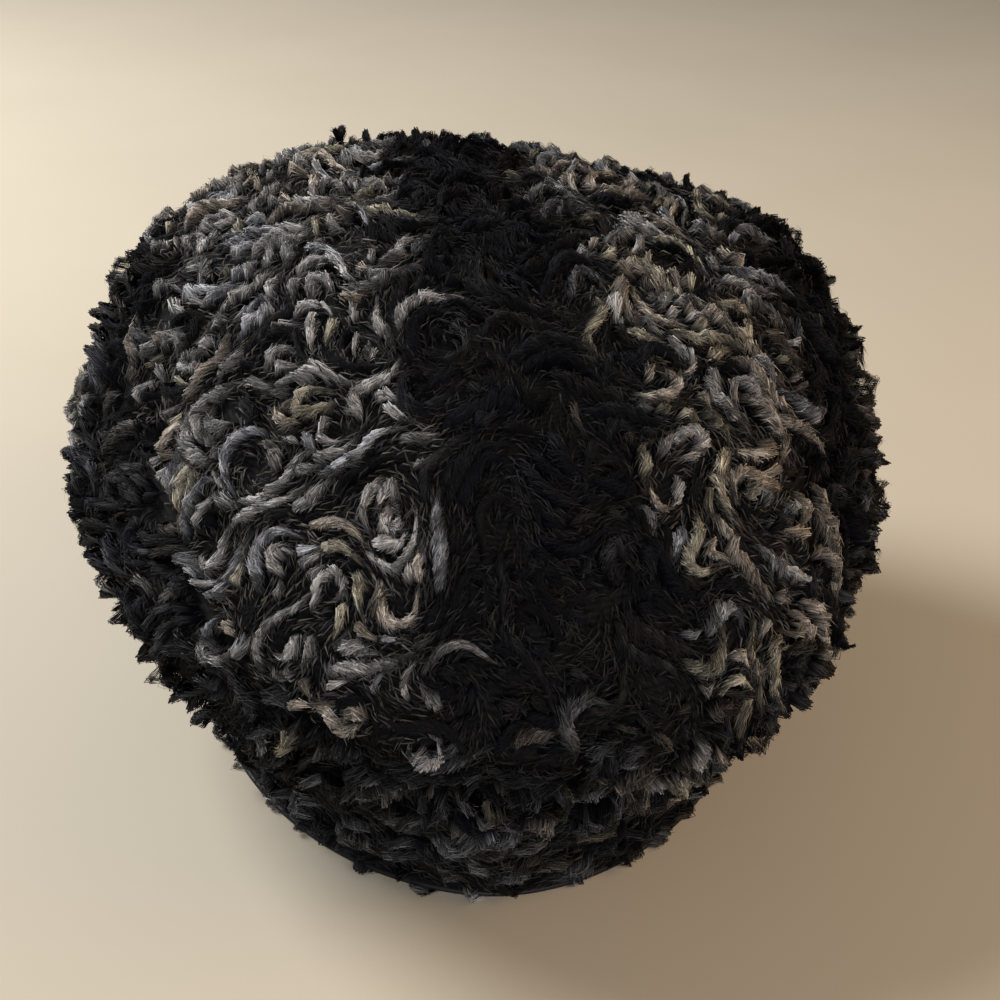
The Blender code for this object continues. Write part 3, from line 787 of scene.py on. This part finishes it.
def lock_tones(panel, lines, grey_at, random):
    """Each lock's lightness and tint: most locks in a grey stripe are light, and few outside.

    On the wearer's right more of them are brown, partly the pile's own colour and partly painted
    warm light, and in the dark they are cool, partly their own colour and partly a painted bluish sheen.
    """
    middle, _ = on_hat(panel, lines[:, LOCK_MIDDLE], np.zeros(len(lines)))
    share = grey_at(middle)
    count = len(lines)
    bright, dim = random.uniform(*BRIGHT_LOCK, count), random.uniform(*DIM_LOCK, count)
    in_stripe = share * bright + (1.0 - share) * dim
    pile = PILES[panel.name]
    outside = pile.dark_least + pile.dark_spread * random.random(count) ** 2
    light = np.where(random.random(count) < pile.stray_grey + GREY_LOCKS * share, in_stripe, outside)
    tint = random.choice(TINTS, count, p=TINT_SHARES)
    brown_and_warm_light = random.choice(TINTS, count, p=BROWN_AND_WARM_LIGHT_SHARES)
    # Brown tints on the wearer's right: partly the pile's own colour, partly painted warm light.
    tint = np.where(middle[:, 0] < 0.0, brown_and_warm_light, tint)
    # The cool tint in the dark is partly the fibres' own colour and partly a painted bluish sheen.
    tint = np.where(random.random(count) < COOL_AND_SHEEN_IN_DARK * (1.0 - share), TINTS - 1, tint)
    return light, tint


def comb_panel(panel, curls, drift, grey_at, random):
    """The fibres of a whole panel, lock by lock, fuller toward the seam of side and band."""
    starts = hex_spots(panel, LOCK_STARTS, random)
    centres, _, wrap = curls
    away = starts[:, None] - centres[None]
    away[..., 0] -= wrap * np.round(away[..., 0] / wrap)
    radius = np.linalg.norm(away, axis=-1).min(axis=1)
    starts, radius = starts[radius > CURL_HOLE], radius[radius > CURL_HOLE]
    lines = lock_lines(starts, curls, drift)
    pile = PILES[panel.name]
    length = random.uniform(LOCK_SHORTEST, pile.longest_lock, len(lines))
    length = np.clip(length, LOCK_LEAST, np.maximum(CURL_TURNED * TURN * radius, LOCK_LEAST))
    length = free_lengths(panel, lines, length, random.uniform(*LOCK_APART, len(lines)))
    laid = (length > 0.0) & ((radius > CURL_REACH) | (random.random(len(lines)) < CURL_KEPT))
    lines, length = lines[laid], length[laid]
    light, tint = lock_tones(panel, lines, grey_at, random)
    half_width = random.uniform(*LOCK_HALF_WIDTH, len(lines))
    top = random.uniform(LOCK_TOP_LOWEST, pile.highest_top, len(lines))
    share = panel_place(panel, lines[:, LOCK_MIDDLE])[1]
    toward_seam = share if panel.name == "headband" else 1.0 - share
    top = top + pile.seam_fullness * smooth_step((toward_seam - FULLER_FROM) / (1.0 - FULLER_FROM))
    hand = np.where(random.random(len(lines)) < 0.5, -1.0, 1.0)
    return fibres_of(panel, Locks(lines, length, half_width, top, hand, light, tint), random)


UNDERCOAT_SPACING = 0.0017
UNDERCOAT_TURN = 0.4
UNDERCOAT_REACH = (0.0050, 0.0090)
UNDERCOAT_RISE = (0.0018, 0.0036)
UNDERCOAT_HALF_WIDTH = (0.00016, 0.00030)
UNDERCOAT_TONE = 0.04
UNDERCOAT_GREY = 0.15


def undercoat(panel, curls, drift, grey_at, random):
    """Short fibres all over the panel, which fill the ground between the locks."""
    spots = hex_spots(panel, UNDERCOAT_SPACING, random)
    count = len(spots)
    direction = flow(spots, curls, drift)
    turn = random.normal(0.0, UNDERCOAT_TURN, count)
    turned = np.stack([
        direction[:, 0] * np.cos(turn) - direction[:, 1] * np.sin(turn),
        direction[:, 0] * np.sin(turn) + direction[:, 1] * np.cos(turn),
    ], axis=-1)
    reach = random.uniform(*UNDERCOAT_REACH, count)
    flat = spots[:, None] + turned[:, None] * (reach[:, None] * FIBRE_PATH[None])[..., None]
    base = CLOTH_OUTER_LIFT - ROOT_DEPTH
    rise = random.uniform(*UNDERCOAT_RISE, count)
    lift = base + rise[:, None] * FIBRE_RISE[None]
    points, normals = on_hat(panel, flat, lift)
    width = random.uniform(*UNDERCOAT_HALF_WIDTH, count)
    tone = random.uniform(0.0, UNDERCOAT_TONE, count)
    tone = tone + UNDERCOAT_GREY * grey_at(points[:, 0]) * random.random(count) ** 2
    return points, normals, width, tone, random.choice(TINTS, count)


DRIFT_ACROSS = (Wave(1.0, 75.0, 120.0, 0.5), Wave(0.6, -90.0, 210.0, 0.0))
DRIFT_ALONG = (Wave(1.0, 135.0, -60.0, 2.1), Wave(0.6, 190.0, 160.0, 0.0))
WANDERING_PULL = 0.26
STEADY_PULL = 0.24
STEADY_LEAD = 0.5
LEAD_WIDTH = 0.03


def slow_drift(spots):
    """A slow wandering pull: waves a few curls long, and a steady pull to the wearer's right.

    The steady pull also leads forward on the left of the hat, and back on the right.
    """
    x, y = spots[..., 0], spots[..., 1]
    wandering = np.stack([waves_at(DRIFT_ACROSS, x, y), waves_at(DRIFT_ALONG, x, y)], axis=-1)
    steady = np.stack([-np.ones_like(x), -STEADY_LEAD * np.tanh(x / LEAD_WIDTH)], axis=-1)
    return WANDERING_PULL * wandering + STEADY_PULL * steady


pile_fibre = pile_material()
disc_random = np.random.default_rng(5)
disc_degrees, disc_distance = np.array(DISC_CURLS).T
disc_turn = np.radians(disc_degrees)
charted = disc_distance[:, None] * np.stack([np.sin(disc_turn), np.cos(disc_turn)], axis=-1)
disc = PANELS["crown_top"]
disc_curls = curl_centres(disc, charted, disc_random)
disc_fibres = comb_panel(disc, disc_curls, slow_drift, stripe_share, disc_random)
disc_ground = undercoat(disc, disc_curls, slow_drift, stripe_share, disc_random)
add_pile("crown_top_pile", "crown_top", disc_fibres, pile_fibre, disc_random)
add_pile("crown_top_undercoat", "crown_top", disc_ground, pile_fibre, disc_random)


# The pile of the side panel
# The same curly pile on the swelling side, cut mostly from the cloth's near-black stripe, and
# grey in the places where the cut runs into the next stripe.
PATCH_WAVES = ((55.0, 1.0), (48.0, 2.2), (60.0, 0.4))
PATCH_GREY = 0.75
PATCH_FROM = 0.42
PATCH_SOFT = 0.3


def side_grey(points):
    """Soft grey patches here and there on the side: where three slow waves' product is high."""
    x, y, z = points[..., 0], points[..., 1], points[..., 2]
    (x_wave, x_start), (y_wave, y_start), (z_wave, z_start) = PATCH_WAVES
    patch = np.sin(x * x_wave + x_start) * np.sin(y * y_wave + y_start) * np.cos(z * z_wave + z_start)
    return PATCH_GREY * smooth_step((patch - PATCH_FROM) / PATCH_SOFT)


side_random = np.random.default_rng(6)
side = PANELS["crown_side"]
side_curls = curl_centres(side, np.zeros((0, 2)), side_random)
side_fibres = comb_panel(side, side_curls, slow_drift, side_grey, side_random)
side_ground = undercoat(side, side_curls, slow_drift, side_grey, side_random)
add_pile("crown_side_pile", "crown_side", side_fibres, pile_fibre, side_random)
add_pile("crown_side_undercoat", "crown_side", side_ground, pile_fibre, side_random)


# The pile of the band
# Near-black pile on the upright strip round the head, with looser curls. The strip is closed
# by a seam at the centre back, and its pile runs down and in to that seam from both sides.
BAND_CURL_STRENGTH = 0.55
BAND_TOWARD_SEAM = 0.75
BAND_DOWN = 0.45
# The band's lift toward grey all round is painted light, set against the shade under the side's bulge.
BAND_PAINTED_LIGHT = 0.16


def band_drift(spots):
    """Down all round, and toward the centre-back seam from both sides, which fades by the front."""
    toward_seam = -np.cos(np.pi * spots[:, 0] / PANELS["headband"].girth)
    return np.stack([toward_seam * BAND_TOWARD_SEAM, np.full(len(spots), -BAND_DOWN)], axis=-1)


def band_grey_and_painted_light(points):
    """A little lighter all round, a painted light against the bulge's shade, and the side
    panel's grey patches where they run on down.
    """
    return BAND_PAINTED_LIGHT + (1.0 - BAND_PAINTED_LIGHT) * side_grey(points)


band_random = np.random.default_rng(7)
band = PANELS["headband"]
band_centres, band_hands, band_wrap = curl_centres(band, np.zeros((0, 2)), band_random)
band_curls = band_centres, band_hands * BAND_CURL_STRENGTH, band_wrap
band_fibres = comb_panel(band, band_curls, band_drift, band_grey_and_painted_light, band_random)
band_ground = undercoat(band, band_curls, band_drift, band_grey_and_painted_light, band_random)
add_pile("headband_pile", "headband", band_fibres, pile_fibre, band_random)
add_pile("headband_undercoat", "headband", band_ground, pile_fibre, band_random)


# The turned edge of the lining
# Smooth satin cloth turned in round the rim and sewn up inside the band; the hat stands on
# its folded edge, which shows as a thin dark line under the pile.
EDGE_CLOTH = 0.0016
EDGE_OVERHANG = 0.0020
EDGE_TOP_SHARE = 0.6
EDGE_TURNS = 180
EDGE_CORNER = 7
EDGE_CLIMB = 10
EDGE_PUCKER = 0.00012
EDGE_PUCKERS = 70.0
HEM_RISE = 0.02


def edge_section():
    """The edge's section, as depth inside the pile and height over the table.

    It is a flat foot with a round outer fold, and a leg with a round hem at its top, which
    is given as a share of the band's height in the third column.
    """
    bend = np.linspace(-np.pi / 2, np.pi / 2, EDGE_CORNER)
    half = EDGE_FOOT / 2
    fold_depth = EDGE_OVERHANG + half - half * np.cos(bend)
    fold = np.stack([fold_depth, half + half * np.sin(bend), 0 * bend], axis=-1)
    leg_out = WALL + SEAM_GAP
    leg_in = leg_out + EDGE_CLOTH
    climb = np.linspace(0.0, 1.0, EDGE_CLIMB)
    outer = np.stack([np.full(EDGE_CLIMB, leg_out), np.full(EDGE_CLIMB, EDGE_FOOT), climb], axis=-1)
    hem = np.linspace(0.0, np.pi, EDGE_CORNER)
    middle = (leg_out + leg_in) / 2
    hem_depth = middle - EDGE_CLOTH / 2 * np.cos(hem)
    top = np.stack([hem_depth, EDGE_FOOT + 0 * hem, 1.0 + HEM_RISE * np.sin(hem)], axis=-1)
    inner = np.stack([np.full(EDGE_CLIMB, leg_in), np.zeros(EDGE_CLIMB), climb[::-1]], axis=-1)
    return np.vstack([fold, outer, top, inner])


def edge_mesh():
    """The section carried once round the rim, with a slight pucker on its leg."""
    turns = np.linspace(0.0, TURN, EDGE_TURNS, endpoint=False)
    depth, height, climb = edge_section().T
    ring = RIM_RING + climb * EDGE_TOP_SHARE * (BAND_SEAM_RING - RIM_RING)
    grid_turn, grid_ring = np.meshgrid(turns, ring)
    pucker = EDGE_PUCKER * np.sin(grid_turn * EDGE_PUCKERS) * np.sin(np.pi * climb)[:, None]
    points = hat_form(grid_turn, grid_ring)
    points = points - form_normal(grid_turn, grid_ring) * (depth[:, None] + pucker)[..., None]
    points[..., 2] = points[..., 2] * (climb[:, None] > 0) + height[:, None] * (climb[:, None] == 0)
    faces = round_grid(len(depth) + 1, EDGE_TURNS) % (len(depth) * EDGE_TURNS)
    return points.reshape(-1, 3), faces


def satin_material():
    """Near-black satin: a fine twill and soft highlights."""
    material = bpy.data.materials.new("edge_satin")
    material.use_nodes = True
    shader = material.node_tree.nodes["Principled BSDF"]
    shader.inputs["Roughness"].default_value = 0.50
    shader.inputs["Specular IOR Level"].default_value = 0.22
    add, link = node_maker(material)
    place = add("ShaderNodeTexCoord")
    twill = add("ShaderNodeTexWave", {"bands_direction": "DIAGONAL"}, Scale=900.0, Distortion=1.0)
    link(place.outputs["Object"], twill.inputs["Vector"])
    clouds = add("ShaderNodeTexNoise", Scale=120.0, Detail=3.0)
    link(place.outputs["Object"], clouds.inputs["Vector"])
    colours = add("ShaderNodeValToRGB")
    colours.color_ramp.elements[0].color = (0.003, 0.003, 0.0038, 1.0)
    colours.color_ramp.elements[1].color = (0.012, 0.0115, 0.013, 1.0)
    link(clouds.outputs["Fac"], colours.inputs["Fac"])
    link(colours.outputs["Color"], shader.inputs["Base Color"])
    bump = add("ShaderNodeBump", Strength=0.25, Distance=0.0001)
    link(twill.outputs["Fac"], bump.inputs["Height"])
    link(bump.outputs["Normal"], shader.inputs["Normal"])
    return material


edge = new_mesh_object("lining_edge_fold", *edge_mesh())
edge.data.materials.append(satin_material())
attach(edge, "root")
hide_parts("lining_edge")


# The floor
# A plain surface with matt paint in a pale warm tone, level and seamless, on which the hat
# stands.
FLOOR_SIZE = 12.0


def floor_material():
    """Matt pale paint with a faint mottle."""
    material = bpy.data.materials.new("pale_floor")
    material.use_nodes = True
    shader = material.node_tree.nodes["Principled BSDF"]
    shader.inputs["Roughness"].default_value = 0.75
    shader.inputs["Specular IOR Level"].default_value = 0.2
    add, link = node_maker(material)
    place = add("ShaderNodeTexCoord")
    mottle = add("ShaderNodeTexNoise", Scale=6.0, Detail=2.0)
    link(place.outputs["Object"], mottle.inputs["Vector"])
    colours = add("ShaderNodeValToRGB")
    colours.color_ramp.elements[0].color = (0.430, 0.382, 0.300, 1.0)
    colours.color_ramp.elements[1].color = (0.470, 0.418, 0.330, 1.0)
    link(mottle.outputs["Fac"], colours.inputs["Fac"])
    link(colours.outputs["Color"], shader.inputs["Base Color"])
    return material


half_floor = FLOOR_SIZE / 2
floor_corners = np.array([
    (-half_floor, -half_floor, 0.0), (half_floor, -half_floor, 0.0),
    (half_floor, half_floor, 0.0), (-half_floor, half_floor, 0.0),
])
floor = new_mesh_object("floor", floor_corners, [[0, 1, 2, 3]])
floor.data.materials.append(floor_material())


# The light
# A big soft lamp high on the left, a weaker one behind the camera, a faint warm one on the
# right, and pale warm air all round.
def soft_light(name, place, radius, power, colour):
    """A glowing ball of this radius."""
    data = bpy.data.lights.new(name, "POINT")
    data.shadow_soft_size = radius
    data.energy = power
    data.color = colour
    lamp = bpy.data.objects.new(name, data)
    lamp.location = place
    bpy.context.scene.collection.objects.link(lamp)


soft_light("window_light", (1.02, -0.52, 1.05), 0.38, 136.0, (0.97, 0.98, 1.0))
soft_light("room_light", (-0.12, 2.00, 0.90), 0.55, 98.0, (0.97, 0.96, 1.0))
soft_light("warm_light", (-1.00, 0.20, 0.60), 0.35, 22.0, (1.0, 0.60, 0.26))
world = bpy.data.worlds.new("pale_air")
bpy.context.scene.world = world
world.use_nodes = True
world.node_tree.nodes["Background"].inputs["Color"].default_value = (1.0, 0.95, 0.86, 1.0)
world.node_tree.nodes["Background"].inputs["Strength"].default_value = 0.25
bpy.context.scene.view_settings.view_transform = "Standard"
